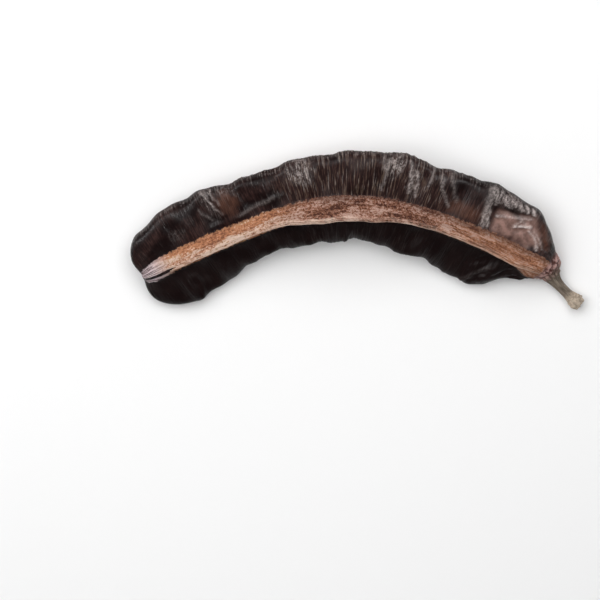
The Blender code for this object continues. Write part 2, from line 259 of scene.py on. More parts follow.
# Wrinkles across the lobes: how far they wander, how wide they run, and their share of the usual spacing
WANDER, WANDER_LENGTH, WANDER_WIDTH = 1.8, 12.0, 10.0
TREMBLE, TREMBLE_SIZE = 0.35, 4.0
FINE_RUN, FINER_RUN, BROAD_RUN = 8.0, 5.0, 15.0
FINER_SPACING, BROAD_SPACING = 0.55, 3.6
BROAD_HEIGHT = 0.30
QUIET_LENGTH, QUIET_WIDTH = 16.0, 9.0  # size of the calm and the lively patches
TIP_STRENGTH, BODY_STRENGTH, STRIPE_STRENGTH, BLOOM_STRENGTH = 0.12, 0.28, 0.60, 0.55
HIDDEN_SHARE = 0.6  # the inner lobe's wrinkles beside the outer lobe's
CRINKLE_HEIGHT, CRINKLE_LENGTH, CRINKLE_WIDTH = 0.40, 2.0, 2.8
BOX_LENGTH, BOX_WIDTH, SMALL_BOX_LENGTH, SMALL_BOX_WIDTH = 9.0, 8.0, 3.2, 3.0
FRONT_BOX_HEIGHT, BOX_HEIGHT, SMALL_BOX_HEIGHT = 0.5, 1.6, 0.5
FOLD_WAVER, FOLD_WAVER_SIZE = 0.7, 3.0
PATCH_RAGGEDNESS, PATCH_RAGGED_SIZE = 0.35, 3.0

# The wings' fibres, lumps and pits: (length, width)
FIBRE_SIZE, LUMP_SIZE, PIT_SIZE = (7.0, 0.9), (2.6, 2.2), (0.8, 1.0)
FIBRE_SHARE, LUMP_SHARE, PIT_SHARE = 0.9, 0.9, 1.0

# The stalk: knobby folds and a swelling at its base, bark along it and its rough knob
BASE_FOLD_HEIGHT, BASE_FOLD_DEPTH = 1.6, 0.6
BASE_CREST = 0.55
SWELL_PLACE, SWELL_LENGTH, SWELL_HEIGHT = 192.5, 3.2, 1.3
BARK_HEIGHT, BARK_LENGTH = 0.12, 5.0
KNOB_HEIGHT, KNOB_LENGTH = 0.42, 0.9

# Writing the skin's attributes
ARM_PLACE = 17.3  # how far apart the arms' patterns are in the skin's own coordinates
WING_BORDER = 1.8
CREST_HEIGHT = 0.7
ROOT_FADE = 1.6

# The two ends
TIP_CAP = 14.0
TIP_SQUARENESS = 2.5
TIP_NOTCH = 2.0
TIP_NOTCH_WIDTH = 6.0
TIP_SKEW = 0.20
BODY_END, STALK_START = 176.0, 195.0
SCAR_DISH = 0.5
TIP_SHARE, BODY_SHARE, STALK_SHARE = 0.10, 0.72, 0.14

# How the pod lies
REST_TILT = math.radians(21.12)
REST_ROLL = math.radians(-0.88)
FLAT_DEPTH = 0.40

# The photograph's view of the pod, in the pod's own frame
VIEW_LEAN = math.radians(30.0)  # from square to the lobes towards the outside of the arch
VIEW_TURN = math.radians(4.43)
VIEW_DISTANCE = 2.5
SENSOR = 36.0
FRAME_WIDTH = 0.258  # what the picture spans at the pod
FRAME_CENTRE = (-20.6, -36.4, 21.0)  # what lies at the middle of the picture, in the pod's frame
COARSE_RINGS = 60  # enough rings to find where the pod lies

# The lights: (place, size) of each, in metres
KEY_PLACE, KEY_SIZE = (-0.15, 0.36, 0.86), (1.2, 0.9)
STRIP_PLACE, STRIP_SIZE = (0.75, 0.10, 0.50), (0.10, 0.6)

BUMP_STRENGTH, BUMP_HEIGHT = 0.7, 0.45 * MM
SKIN_SPECULAR, FLOOR_SPECULAR, FLOOR_ROUGHNESS = 0.08, 0.2, 0.9


# Shape


def smooth_through(stations, values, at):
    """A smooth curve through values at stations, read at the places in at (a cubic Hermite spline)."""
    stations, values = np.asarray(stations, float), np.asarray(values, float)
    slopes = np.gradient(values, stations, axis=0)
    i = np.clip(np.searchsorted(stations, at) - 1, 0, len(stations) - 2)
    gap = stations[i + 1] - stations[i]
    t = (at - stations[i]) / gap
    if values.ndim > 1:
        t, gap = t[:, None], gap[:, None]
    return (
        (2 * t**3 - 3 * t**2 + 1) * values[i]
        + (t**3 - 2 * t**2 + t) * gap * slopes[i]
        + (3 * t**2 - 2 * t**3) * values[i + 1]
        + (t**3 - t**2) * gap * slopes[i + 1]
    )


def smooth_step(low, high, at):
    t = np.clip((at - low) / (high - low), 0, 1)
    return t * t * (3 - 2 * t)


def between(start, full, fading, gone, at):
    """1 from full to fading, 0 before start and after gone, and smooth in the two gaps."""
    return smooth_step(start, full, at) * (1 - smooth_step(fading, gone, at))


def waves(parts, at, shift=0.0):
    """The sum of some sine waves, which don't repeat together. shift moves each one by its own amount."""
    return sum(h * np.sin(2 * math.pi * (at / w + p + shift * (1 + k))) for k, (w, h, p) in enumerate(parts))


def arc_lengths(points):
    steps = np.linalg.norm(np.diff(points, axis=0), axis=1)
    return np.concatenate([[0], np.cumsum(steps)])


def evenly_round(reach, half, squareness):
    """(shares, angles): angles that lay evenly spaced points along a quarter of a superellipse."""
    angles = np.linspace(0, math.pi / 2, ROUND_SAMPLES)
    power = 2 / squareness
    curve = np.stack([reach * np.sin(angles) ** power, half * np.clip(np.cos(angles), 0, 1) ** power], axis=1)
    lengths = arc_lengths(curve)
    return lengths / lengths[-1], angles


SPINE_POINTS = np.array(SPINE)
SPINE_STATIONS = arc_lengths(SPINE_POINTS)
SPINE_LENGTH = SPINE_STATIONS[-1]
LOBE_ROUND = evenly_round(LOBE_HEIGHT, LOBE_HALF_THICKNESS, LOBE_SQUARENESS)
WING_ROUND = evenly_round(WING_HEIGHT, WING_HALF_THICKNESS, WING_SQUARENESS)
POD_TURN = Euler((REST_TILT, REST_ROLL, 0)).to_matrix()


def spine_frame(s):
    """Points of the spine at distances s from the tip, and the directions along, outward and upward."""
    point = smooth_through(SPINE_STATIONS, SPINE_POINTS, s)
    ahead = smooth_through(SPINE_STATIONS, SPINE_POINTS, np.minimum(s + SLOPE_STEP, SPINE_LENGTH))
    behind = smooth_through(SPINE_STATIONS, SPINE_POINTS, np.maximum(s - SLOPE_STEP, 0))
    along = ahead - behind
    along /= np.linalg.norm(along, axis=1)[:, None]
    outward = np.cross([0.0, 0.0, 1.0], along)
    outward /= np.linalg.norm(outward, axis=1)[:, None]
    upward = np.cross(along, outward)
    return point, along, outward, upward


def ring_path(share):
    """(distance from the tip, size of the section, share of the scar) for each ring's share of the way."""
    power = 2 / TIP_SQUARENESS
    cap = np.clip(share / TIP_SHARE, 0, 1) * math.pi / 2
    body = np.clip((share - TIP_SHARE) / BODY_SHARE, 0, 1)
    stalk = np.clip((share - TIP_SHARE - BODY_SHARE) / STALK_SHARE, 0, 1)
    scar_from = TIP_SHARE + BODY_SHARE + STALK_SHARE
    scar = np.clip((share - scar_from) / (1 - scar_from), 0, 1)
    s = (
        TIP_CAP * (1 - np.clip(np.cos(cap), 0, 1) ** power)
        + body * (STALK_START - TIP_CAP)
        + stalk * (SPINE_LENGTH - STALK_START)
    )
    size = np.sin(cap) ** power * np.clip(1 - scar, 0, 1)
    return s, size, scar


def reach_of(arm, s):
    """How far each arm's edge stands out. Arms 0 to 3: outer lobe, upper wing, inner lobe, lower wing."""
    reach = np.zeros_like(s)
    on_body = 1 - smooth_step(BODY_END, STALK_START, s)
    for k, table in enumerate((OUTER_LOBE, UPPER_WING, INNER_LOBE, LOWER_WING)):
        stations, values = zip(*table)
        ripple = waves(EDGE_SCALLOPS if k % 2 == 0 else WING_CHIPS, s, shift=EDGE_SHIFT * k)
        reach = np.where(arm == k, smooth_through(stations, values, s) + ripple * on_body, reach)
    return reach


def arm_section(arm, share, side, s):
    """A point of the star-shaped section as (distance up the arm, distance to its side)."""
    lobe = arm % 2 == 0
    reach = reach_of(arm, s)
    half = np.where(lobe, LOBE_HALF_THICKNESS, WING_HALF_THICKNESS)
    flare = np.where(lobe, LOBE_FLARE, WING_FLARE)
    root = np.where(lobe, WING_HALF_THICKNESS + WING_FLARE, LOBE_HALF_THICKNESS + LOBE_FLARE)
    swell = np.where(lobe, waves(PULP_SWELLS, s, shift=SWELL_SHIFT * arm + SWELL_SIDE_SHIFT * side), 0.0)
    for crease_arm, crease_side, place, depth, width in CREASES:
        on_it = (arm == crease_arm) & (side == crease_side)
        swell = swell - np.where(on_it, depth * np.exp(-(((s - place) / width) ** 2)), 0.0)
    power = 2 / np.where(lobe, LOBE_SQUARENESS, WING_SQUARENESS)
    angle = np.where(lobe, np.interp(share, *LOBE_ROUND), np.interp(share, *WING_ROUND))
    up = np.clip(np.sin(angle), 0, 1) ** power
    out = np.clip(np.cos(angle), 0, 1) ** power
    height = root + (reach - root) * up
    width = (half + swell * np.sin(math.pi * up)) * out + flare * (1 - up) ** FLARE_FADE
    from_edge = (1 - share) * WING_GIRTH
    suture = np.where(lobe, 0.0, SUTURE_DEPTH) * np.exp(-((from_edge / SUTURE_WIDTH) ** 2))
    return height - suture, width * side


def pod_surface(arm, share, side, ring_share):
    """The pod's skin, in millimetres, in the pod's own frame."""
    s, size, scar = ring_path(ring_share)
    point, along, outward, upward = spine_frame(s)
    height, width = arm_section(arm, share, side, s)
    lobe_sway = waves(LOBE_SWAY, s, shift=SWAY_SHIFT * arm)
    wing_sway = waves(WING_SWAY, s, shift=SWAY_SHIFT * arm)
    sway = np.where(arm % 2 == 0, lobe_sway, wing_sway)
    width = width + sway * (height / SWAY_REACH) ** 2
    turn = arm * math.pi / 2
    star_out = height * np.cos(turn) - width * np.sin(turn)
    star_up = height * np.sin(turn) + width * np.cos(turn)

    angle = side * (1 - share) * math.pi / 4
    next_arm = (arm + side.astype(int)) % 4
    radius = reach_of(arm, s) * np.cos(angle) ** 2 + reach_of(next_arm, s) * np.sin(angle) ** 2
    on_stalk = smooth_step(STALK_START - STALK_RIB_FADE, STALK_START + STALK_RIB_FADE, s)
    radius = radius + STALK_RIB_HEIGHT * np.cos(STALK_RIBS * (turn + angle)) * on_stalk
    round_out = radius * np.cos(turn + angle)
    round_up = radius * np.sin(turn + angle)

    melt = smooth_step(BODY_END, STALK_START, s)
    out = (star_out * (1 - melt) + round_out * melt) * size
    up = (star_up * (1 - melt) + round_up * melt) * size
    at_tip = 1 - smooth_step(0, TIP_CAP, s)
    notch = TIP_NOTCH * (1 - np.exp(-((out / TIP_NOTCH_WIDTH) ** 2)))
    shift = (TIP_SKEW * out - notch) * at_tip - SCAR_DISH * scar
    return point + along * shift[:, None] + outward * out[:, None] + upward * up[:, None]


def section_place(slot):
    """(arm, share, side) for each numbered point round the section, with arm 0's edge at 0."""
    quarter, step = np.divmod(slot, LOBE_STEPS + WING_STEPS)
    down_steps = np.where(quarter % 2 == 0, LOBE_STEPS, WING_STEPS)
    up_steps = LOBE_STEPS + WING_STEPS - down_steps
    rising = step > down_steps
    arm = (quarter + rising) % 4
    share = np.where(rising, (step - down_steps) / up_steps, 1 - step / down_steps)
    side = np.where(rising, -1.0, 1.0)
    return arm, share, side


def noise_at(*axes):
    """Smooth noise between about -1 and 1 at points whose coordinates are the arrays in axes."""
    return np.array([noise.noise(Vector(place)) for place in zip(*np.broadcast_arrays(*axes))])


def ridges(*axes):
    """Sharp-crested folds: 1 on a crest, and down to -1 between."""
    return 1 - 2 * np.abs(noise_at(*axes))


def patch_cover(patches, arm, side, s, from_edge):
    """How much of each point lies in the patches, from 0 to 1, with ragged borders."""
    cover = np.zeros_like(s)
    slice_place = arm * 7.7 + side
    ragged = PATCH_RAGGEDNESS * noise_at(s / PATCH_RAGGED_SIZE, from_edge / PATCH_RAGGED_SIZE, slice_place)
    for patch_arm, patch_side, place, depth, length, width in patches:
        away = np.hypot((s - place) / length, (from_edge - depth) / width) + ragged
        here = (arm == patch_arm) & (side == patch_side)
        cover = np.maximum(cover, np.where(here, 1 - smooth_step(0.35, 1.25, away), 0.0))
    return cover


def beside_line(points, s, from_edge):
    """How far each point of the skin lies from a line of points drawn on it."""
    nearest = np.full_like(s, np.inf)
    for (s0, edge0), (s1, edge1) in zip(points, points[1:]):
        long_s, long_edge = s1 - s0, edge1 - edge0
        t = ((s - s0) * long_s + (from_edge - edge0) * long_edge) / (long_s**2 + long_edge**2)
        t = np.clip(t, 0, 1)
        nearest = np.minimum(nearest, np.hypot(s - s0 - t * long_s, from_edge - edge0 - t * long_edge))
    return nearest


def fan_of_folds():
    """The fan's folds, written as those in FOLDS. They stray a little from an even fan."""
    fan = []
    for i in range(FAN_FOLDS):
        stray = FAN_STRAY * math.sin(FAN_STRAY_TURN * i)
        top = (FAN_START + i * FAN_STEP + stray, FAN_TOP + stray)
        foot_depth = FAN_FOOT - FAN_SHORTENING * i - FAN_RAGGED * abs(stray)
        foot = (FAN_START + FAN_LEAN + i * FAN_STEP - stray, foot_depth)
        fan.append((0, 1, [top, foot], FAN_HEIGHT, FAN_WIDTH, FAN_WEAR_AND_HIGHLIGHT + FAN_PALE_STRAY * stray))
    return fan


def drawn_folds(arm, side, s, from_edge):
    """(height, pale): the lobes' own folds and creases in millimetres, and how pale each one's crest is, as
    wear and painted highlight.
    """
    wavering_s = s + FOLD_WAVER * noise_at(s / FOLD_WAVER_SIZE, from_edge / FOLD_WAVER_SIZE, arm * 3.1)
    height = np.zeros_like(s)
    pale = np.zeros_like(s)
    for fold_arm, fold_side, points, fold_height, width, wear_and_highlight_lines in FOLDS + fan_of_folds():
        here = (arm == fold_arm) & (side == fold_side)
        away = beside_line(points, wavering_s[here], from_edge[here])
        fold = np.exp(-((away / width) ** 2))
        height[here] += fold_height * fold
        pale[here] = np.maximum(pale[here], fold * wear_and_highlight_lines)
    return height, pale


def pulp_relief(arm, side, s, from_edge, bloom, rosy, settings):
    """Sharp-crested wrinkles across the lobes, which wander, come and go, and fold boxily by the stalk."""
    layer = arm * ARM_SLICE + side * SIDE_SLICE
    around = side * from_edge
    spacing = settings.wrinkle_spacing / MM
    wander = s + WANDER * noise_at(s / WANDER_LENGTH, around / WANDER_WIDTH, layer)
    wander = wander + TREMBLE * noise_at(s / TREMBLE_SIZE, around / TREMBLE_SIZE, layer)
    fine = ridges(wander / spacing, around / FINE_RUN, layer + 5.1)
    finer = ridges(wander / (FINER_SPACING * spacing), around / FINER_RUN, layer + 6.4)
    broad = ridges(wander / (BROAD_SPACING * spacing), around / BROAD_RUN, layer + 9.3)
    lively = smooth_step(-0.35, 0.45, noise_at(s / QUIET_LENGTH, around / QUIET_WIDTH, layer + 2.2))
    zone = TIP_STRENGTH + BODY_STRENGTH * smooth_step(*WRINKLED, s) + STRIPE_STRENGTH * between(*STRIPES, s)
    zone = zone * np.where(arm == 0, 1.0, HIDDEN_SHARE)
    strength = (0.30 + 0.45 * lively) * zone + BLOOM_STRENGTH * bloom
    wrinkle = settings.wrinkle_height / MM * strength * (np.clip(fine, 0, 1) ** 2 + 0.4 * finer - 0.35)
    tipward = 0.3 + 0.7 * smooth_step(*BROADLY_WRINKLED, s)
    wrinkle = wrinkle + BROAD_HEIGHT * (broad - 0.4) * (0.2 + 0.8 * lively) * tipward

    crinkle = ridges(s / CRINKLE_LENGTH, around / CRINKLE_WIDTH, layer + 8.8)
    wrinkle = wrinkle + CRINKLE_HEIGHT * bloom * (np.clip(crinkle, 0, 1) ** 2 - 0.35)

    boxy = between(*BOXY_FOLDS, s)
    large = np.abs(noise_at(s / BOX_LENGTH, around / BOX_WIDTH, layer + 3.7))
    small = np.abs(noise_at(s / SMALL_BOX_LENGTH, around / SMALL_BOX_WIDTH, layer))
    in_front = (arm == 0) & (side > 0)
    boxes = np.where(in_front, FRONT_BOX_HEIGHT, BOX_HEIGHT) * large + SMALL_BOX_HEIGHT * small - 0.3
    relief = wrinkle * (1 - 0.6 * boxy) + boxy * boxes * smooth_step(0, 5, from_edge)
    return relief * (1 - 0.8 * rosy)


def wood_relief(arm, s, around, settings):
    """Fibres along the wings, with lumps and pits."""
    layer = arm * ARM_SLICE
    fibre, lumps, pits = (
        noise_at(s / length, around / width, layer + slice_place)
        for (length, width), slice_place in ((FIBRE_SIZE, 7.7), (LUMP_SIZE, 1.3), (PIT_SIZE, 4.4))
    )
    return settings.fibre_height / MM * (FIBRE_SHARE * fibre + LUMP_SHARE * lumps + PIT_SHARE * pits)


def stalk_relief(arm, share, side, s):
    """(height, crest): knobby folds where the stalk begins, ribbed bark and the rough knob at its end."""
    turned = (arm + side * (1 - share) / 2) * math.pi / 2
    out, up = np.cos(turned), np.sin(turned)
    crumple = np.abs(noise_at(s / 2.4, out * 2.4, up * 2.4))
    crumple = crumple + 0.5 * np.abs(noise_at(s / 1.2, out * 5.0, up * 5.0))
    folds = (1 - smooth_step(*BASE_FOLDS_END, s)) * (BASE_FOLD_HEIGHT * crumple - BASE_FOLD_DEPTH)
    swell = SWELL_HEIGHT * np.exp(-(((s - SWELL_PLACE) / SWELL_LENGTH) ** 2)) * np.clip(out, 0, 1)
    bark = BARK_HEIGHT * noise_at(s / BARK_LENGTH, out * 3.0, up * 3.0)
    knob = smooth_step(*KNOB, s) * KNOB_HEIGHT * noise_at(s / KNOB_LENGTH, out * 2.6, up * 2.6)
    return folds + swell + bark + knob, np.clip(crumple / BASE_CREST, 0, 1)


def skin_relief(arm, share, side, s, bloom, rosy, settings):
    """(height, crest, pale): the small relief in millimetres, its crests, and the pale lines on the folds,
    which are wear and painted highlight.
    """
    lobe = arm % 2 == 0
    girth = np.where(lobe, LOBE_GIRTH, WING_GIRTH)
    from_edge = (1 - share) * girth
    from_root = share * girth
    folds, pale = drawn_folds(arm, side, s, from_edge)
    pulp = pulp_relief(arm, side, s, from_edge, bloom, rosy, settings) + folds
    wood = wood_relief(arm, s, side * from_edge, settings)
    skin = np.where(lobe, pulp, wood) * smooth_step(0, ROOT_FADE, from_root)
    melt = smooth_step(*SKIN_TO_STALK, s)
    stalk, stalk_crest = stalk_relief(arm, share, side, s)
    relief = skin * (1 - melt) + stalk * melt
    crest = np.clip(0.5 + skin / CREST_HEIGHT, 0, 1) * (1 - melt) + stalk_crest * melt
    return relief, crest, pale


# Shader maths


class Wire:
    """A value on its way through a material's nodes, which works in sums as a number does."""

    def __init__(self, surface, socket):
        self.surface, self.socket = surface, socket

    def math(self, operation, *values):
        return self.surface.add("ShaderNodeMath", {"operation": operation}, dict(enumerate(values)))

    def __add__(self, other):
        return self.math("ADD", self, other)

    __radd__ = __add__

    def __sub__(self, other):
        return self.math("SUBTRACT", self, other)

    def __rsub__(self, other):
        return self.math("SUBTRACT", other, self)

    def __mul__(self, other):
        return self.math("MULTIPLY", self, other)

    __rmul__ = __mul__

    def __abs__(self):
        return self.math("ABSOLUTE", self)

    def larger(self, other):
        return self.math("MAXIMUM", self, other)

    def rise(self, low, high):
        """0 below low, 1 above high, and smooth between."""
        values = {"Value": self, "From Min": low, "From Max": high}
        return self.surface.add("ShaderNodeMapRange", {"interpolation_type": "SMOOTHSTEP"}, values)

    def between(self, start, full, fading, gone):
        """1 from full to fading, 0 before start and after gone, and smooth in the two gaps."""
        return self.rise(start, full) * (1.0 - self.rise(fading, gone))


class Surface:
    """A material being made: its nodes and its Principled shader."""

    def __init__(self, name):
        self.material = bpy.data.materials.new(name)
        self.material.use_nodes = True
        self.nodes = self.material.node_tree.nodes
        self.links = self.material.node_tree.links
        self.shader = self.nodes["Principled BSDF"]

    def add(self, kind, settings=None, values=None, output=0):
        """Adds a node: its settings first, then the values or links of its sockets."""
        node = self.nodes.new(kind)
        for name, value in (settings or {}).items():
            setattr(node, name, value)
        for name, value in (values or {}).items():
            self.plug(node.inputs[name], value)
        return Wire(self, node.outputs[output])

    def plug(self, socket, value):
        if isinstance(value, Wire):
            self.links.new(value.socket, socket)
        else:
            socket.default_value = value

    def attribute(self, name, output="Fac"):
        return self.add("ShaderNodeAttribute", {"attribute_name": name}, output=output)

    def place(self, vector, scale, shift=(0, 0, 0)):
        """A vector scaled and moved, to set a pattern's size in each direction."""
        scaled = self.add("ShaderNodeVectorMath", {"operation": "MULTIPLY"}, {0: vector, 1: scale})
        return self.add("ShaderNodeVectorMath", {"operation": "ADD"}, {0: scaled, 1: shift})

    def noise(self, vector, scale, detail=3.0, rough=0.55, shift=(0, 0, 0)):
        place = self.place(vector, scale, shift)
        values = {"Vector": place, "Scale": 1.0, "Detail": detail, "Roughness": rough}
        return self.add("ShaderNodeTexNoise", None, values)

    def grains(self, spot, fineness, detail=3.0, rough=0.55):
        """Noise that is the same in every direction, in grains a metre."""
        return self.noise(spot, (fineness,) * 3, detail, rough)

    def mix(self, share, first, second):
        """A colour between first and second."""
        settings = {"data_type": "RGBA", "blend_type": "MIX"}
        return self.add("ShaderNodeMix", settings, {0: share, 6: first, 7: second}, output=2)

    def blend(self, share, first, second):
        """A number between first and second."""
        return self.add("ShaderNodeMix", {"data_type": "FLOAT"}, {0: share, 2: first, 3: second})


def solid(colour):
    return (*colour, 1.0)


# Finishes


def pulp_finish(surface, skin, spot, place, patches, colours):
    """(colour, roughness, bump height) of the glossy, near-black lobes, with painted highlights on their
    crests, rim and folds, and painted shade on the inner lobe.
    """
    crest, bloom, warm, rosy, pale = patches
    black, brown, olive = solid(colours.pulp_black), solid(colours.pulp_brown), solid(colours.pulp_olive)
    amber, rose = solid(colours.pulp_amber), solid(colours.pulp_rose)
    crest_dust_and_highlight_colour, pale_wear_and_highlight = solid(colours.pulp_grey_dust_and_highlight), solid(colours.pulp_fold_wear_and_highlight)
    rise, along, _, arm = place
    # Painted shade: the inner lobe, in the wing's shadow, is coloured darker than the outer lobe, with less
    # brown and fewer pale marks.
    outer = 1.0 - arm.rise(10.0, 20.0)
    striped = along.between(*STRIPES)
    cloud = surface.noise(skin, (0.07, 0.09, 1.0), detail=3.0)
    strokes = surface.noise(skin, (1.5, 0.11, 1.0), detail=2.0, rough=0.5)
    grit = surface.grains(spot, 900.0, detail=3.0, rough=0.6)
    grain = surface.noise(skin, (1.7, 0.14, 1.0), detail=3.0, rough=0.6, shift=(5.0, 2.0, 0.0))
    mottle = surface.grains(spot, 240.0, detail=4.0, rough=0.6)
    brownish = (cloud + striped * 0.12).rise(0.38, 0.62) * (0.30 + grain.rise(0.44, 0.58) * 0.70)
    colour = surface.mix(brownish * (0.15 + outer * 0.85), black, brown)
    lines = (grain * 0.6 + strokes * 0.4).rise(0.50, 0.60) * striped * outer
    colour = surface.mix(lines * (0.25 + mottle.rise(0.40, 0.60) * 0.35), colour, olive)
    colour = surface.mix(warm * (0.45 + grain.rise(0.35, 0.65) * 0.55), colour, amber)
    facet = (mottle * 0.8 + grit * 0.2).rise(0.38, 0.58)
    colour = surface.mix(rosy * (0.50 + facet * 0.42), colour, rose)
    # Grey dust and painted highlights: pale strokes on the wrinkles' crests and in the bloom patches.
    dust_and_highlight_marks = (strokes + bloom * 0.11 + striped * 0.03).rise(0.60, 0.70) * crest.rise(0.10, 0.55)
    dust_and_highlight_marks = dust_and_highlight_marks * (0.13 + bloom * (0.20 + mottle.rise(0.42, 0.60) * 0.40) + striped * 0.10)
    dust_and_highlight_marks = dust_and_highlight_marks * (0.45 + grit.rise(0.35, 0.60) * 0.55) * (1.0 - rosy * 0.8)
    dust_and_highlight_marks = dust_and_highlight_marks + bloom * mottle.rise(0.35, 0.65) * 0.09
    dust_and_highlight_marks = dust_and_highlight_marks.larger(bloom * crest.rise(0.55, 0.95) * (0.28 + grit.rise(0.38, 0.60) * 0.40))
    crinkle = surface.noise(skin, (0.62, 0.36, 1.0), detail=3.0, rough=0.6, shift=(7.0, 3.0, 0.0))
    crack = 1.0 - abs(crinkle - 0.5).rise(0.008, 0.055)
    dust_and_highlight_marks = dust_and_highlight_marks * (1.0 - bloom * crack * 0.85)
    dust_and_highlight_marks = dust_and_highlight_marks * (0.15 + outer * 0.85) * (0.25 + along.rise(28.0, 42.0) * 0.75)
    # Painted highlights: short pale ticks along the outer lobe's rim.
    rim_highlight_ticks = rise.rise(0.82, 0.95) * outer * grit.rise(0.35, 0.60) * 0.32
    dust_and_highlight_marks = dust_and_highlight_marks.larger(rim_highlight_ticks * (strokes * 0.5 + grain * 0.5).rise(0.48, 0.58))
    colour = surface.mix(dust_and_highlight_marks, colour, crest_dust_and_highlight_colour)
    # Pale lines along the folds' crests: worn skin and painted highlights.
    wear_and_highlight_lines = pale * (0.35 + (grit * 0.6 + grain * 0.4).rise(0.42, 0.56) * 0.65) * (0.2 + outer * 0.8)
    colour = surface.mix(wear_and_highlight_lines * 0.9, colour, pale_wear_and_highlight)
    roughness = 0.28 + dust_and_highlight_marks * 0.25 + cloud.rise(0.4, 0.7) * 0.14 + grit.rise(0.4, 0.8) * 0.10
    height = strokes * 0.9 + grit * 0.25 + grain * 0.9 - bloom * crack * 0.6
    return colour, roughness, height


def wood_finish(surface, skin, spot, place, bloom, colours):
    """(colour, roughness, bump height) of the matt, fibrous wings, darker at their roots with their own
    fringe and painted shade.
    """
    rise, along, across, _ = place
    dark, orange, tan, pale = (
        solid(c) for c in (colours.wood_dark, colours.wood_orange, colours.wood_tan, colours.edge_pale)
    )
    fibre = surface.noise(skin, (0.20, 2.4, 1.0), detail=5.0, rough=0.65)
    speck = surface.grains(spot, 850.0, detail=4.0, rough=0.8)
    streak = surface.noise(skin, (0.09, 0.95, 1.0), detail=3.0, rough=0.65, shift=(1.0, 4.0, 0.0))
    cloud = surface.noise(skin, (0.06, 0.16, 1.0), detail=3.0, shift=(3.0, 9.0, 0.0))
    shade = surface.noise(skin, (0.035, 0.05, 1.0), detail=2.0, shift=(8.0, 1.0, 0.0))
    calm = along.rise(125.0, 160.0)
    tone = fibre * (0.34 + calm * 0.26) + speck * (0.66 - calm * 0.26) + (cloud - 0.5) * 0.40 + bloom * 0.10
    # Painted shade, with the wood's own red-brown fringe: darker towards each wing's root, in the corner
    # where it meets a lobe, and less so towards the tip.
    ragged_rise = rise + (speck - 0.5) * 0.5 + (cloud - 0.5) * 0.5
    root = (1.0 - ragged_rise.rise(0.04, 0.44)) * (0.40 + shade.rise(0.42, 0.56) * 0.6)
    root = root * (0.12 + along.rise(55.0, 95.0) * 0.88)
    fresh = 1.0 - (along + (cloud - 0.5) * 40.0).rise(55.0, 85.0)
    edgeward = fresh * (ragged_rise - 0.5)
    colour = surface.mix((fresh * 0.85).larger(calm * 0.75), orange, solid(colours.wood_bright))
    straw = solid(colours.wood_straw)
    colour = surface.mix(fresh * cloud.rise(0.50, 0.62) * 0.55, colour, straw)
    shadow = surface.mix((fresh * 0.6).larger(calm * 0.5), dark, orange)
    colour = surface.mix((tone + fresh * 0.018).rise(0.43, 0.51), shadow, colour)
    light = surface.mix(fresh * 0.7, tan, pale)
    colour = surface.mix((tone + edgeward * 0.10 - fresh * 0.005).rise(0.50, 0.59), colour, light)
    # The root's painted shade and fringe.
    colour = surface.mix(root * 0.75, colour, dark)
    tip = 1.0 - along.rise(5.0, 17.0)
    colour = surface.mix(tip * 0.92, colour, solid(colours.tip_grey))
    colour = surface.mix(tip * (1.0 - (streak * 0.9 + fibre * 0.1).rise(0.46, 0.53)) * 0.90, colour, dark)
    smooth_edge = rise.rise(0.80, 0.90) * (0.20 + along.between(58.0, 70.0, 92.0, 104.0) * 0.6)
    colour = surface.mix(smooth_edge * fibre.rise(0.40, 0.58), colour, pale)
    seam = (across + (fibre - 0.5) * 1.2).rise(0.3, 0.9) * (1.0 - across.rise(1.4, 2.0)) * rise.rise(0.5, 0.6)
    colour = surface.mix(seam * (0.35 + cloud.rise(0.4, 0.6) * 0.4), colour, pale)
    roughness = 0.88 - tone.rise(0.5, 0.7) * 0.20
    height = fibre * 0.9 + speck * 1.4
    return colour, roughness, height


def stalk_finish(surface, skin, spot, along, crest, colours):
    """(colour, roughness, bump height) of the stalk: reddish folds with painted shade in their hollows and
    painted highlights on their crests, grey ribbed bark and a pale knob.
    """
    fibre = surface.noise(skin, (0.14, 1.1, 1.0), detail=4.0, rough=0.6)
    speck = surface.grains(spot, 1000.0, detail=3.0, rough=0.65)
    grey, knob = solid(colours.stalk_grey), solid(colours.knob_tan)
    red, pink = solid(colours.base_red), solid(colours.base_pink)
    colour = surface.mix(fibre.rise(0.48, 0.60) * 0.60, grey, knob)
    colour = surface.mix(along.rise(206.0, 210.0) * (0.40 + speck.rise(0.40, 0.56) * 0.6), colour, knob)
    # The base's own reddish skin, with painted shade as dark red in the folds' hollows and painted highlights
    # as pink on their crests.
    ruddy = (1.0 - along.rise(191.0, 198.0)) * 0.9
    base_folds_lit_and_shaded = surface.mix((crest + (speck - 0.5) * 0.8).rise(0.25, 0.85) * 0.9, red, pink)
    colour = surface.mix(ruddy, colour, base_folds_lit_and_shaded)
    roughness = 0.28 + along.rise(190.0, 200.0) * 0.50
    height = fibre * 0.8 + speck * 0.9
    return colour, roughness, height


